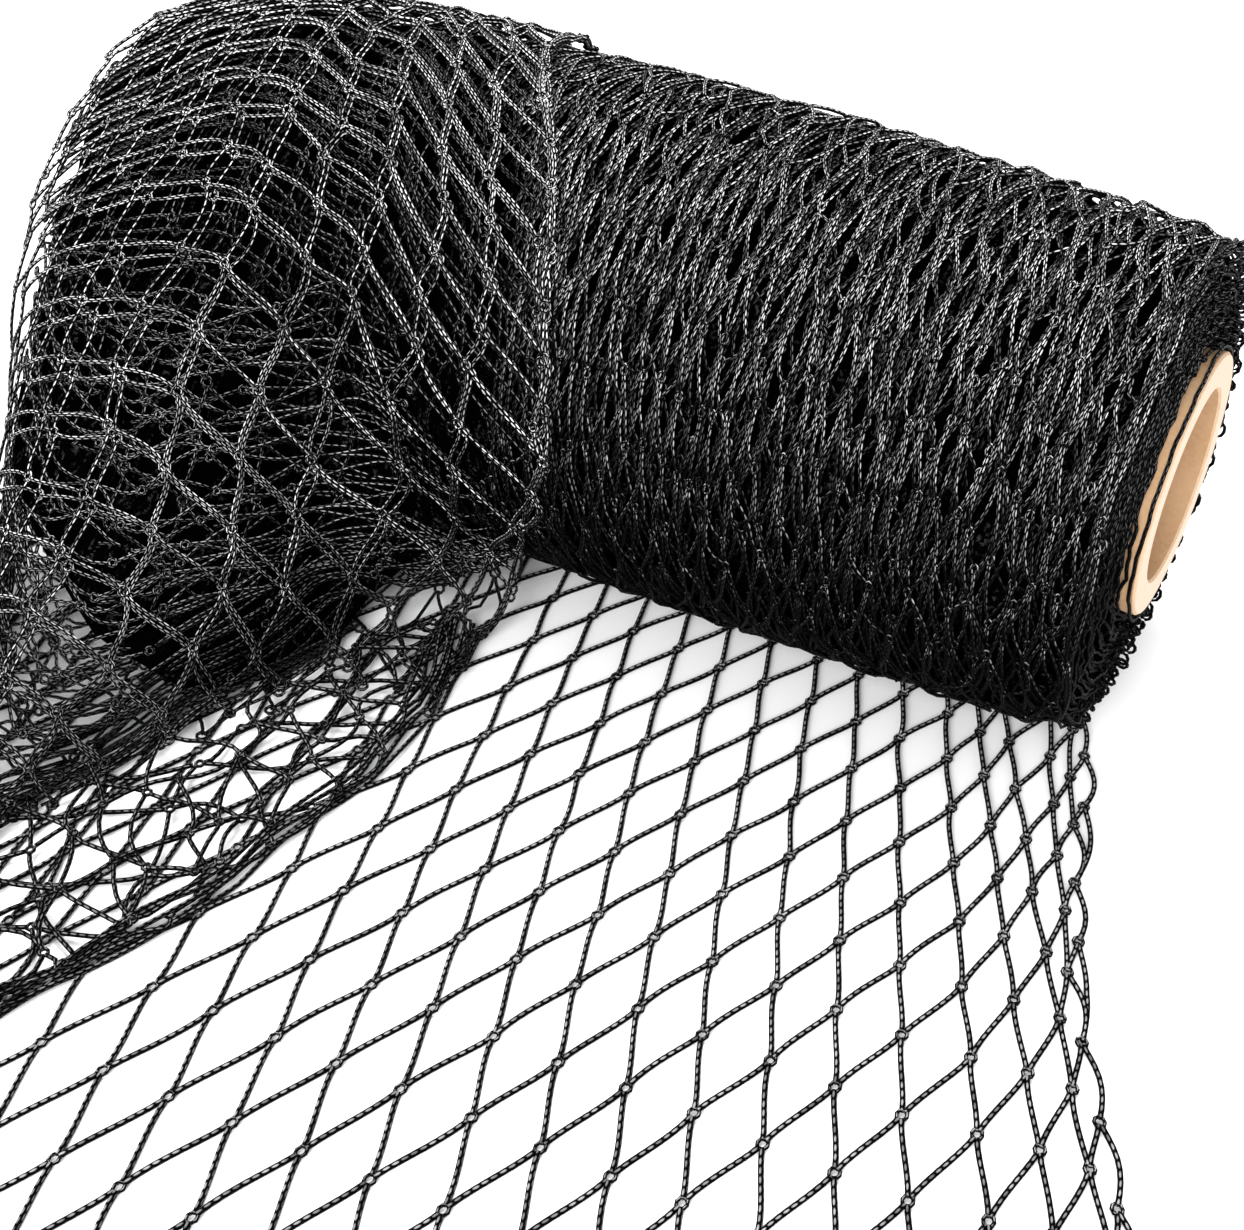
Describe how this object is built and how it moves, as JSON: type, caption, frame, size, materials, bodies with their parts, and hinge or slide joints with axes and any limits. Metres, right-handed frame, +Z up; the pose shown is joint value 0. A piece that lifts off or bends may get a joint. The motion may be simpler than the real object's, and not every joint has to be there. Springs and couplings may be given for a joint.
{
  "type": "bird netting roll",
  "caption": "Roll of black bird netting on a cardboard core, one end laid out flat and the outer turn pulled off over its left half.",
  "frame": {"origin": "on the floor, at the middle of the flat on which the roll rests, under the middle of its length", "axes": "+X along the roll towards its open end, +Y to the back, +Z up; the net comes off towards -Y"},
  "size_m": [0.4071, 0.3809, 0.1468],
  "materials": {
    "cardboard": "plain wound kraft board, cut ends paler than the bore",
    "netting": "knitted black polyethylene twine with a soft sheen"
  },
  "bodies": {
    "root": {"core": "cardboard", "wound_net": "netting", "net_apron": "netting", "net_drape": "netting"}
  },
  "joints": []
}
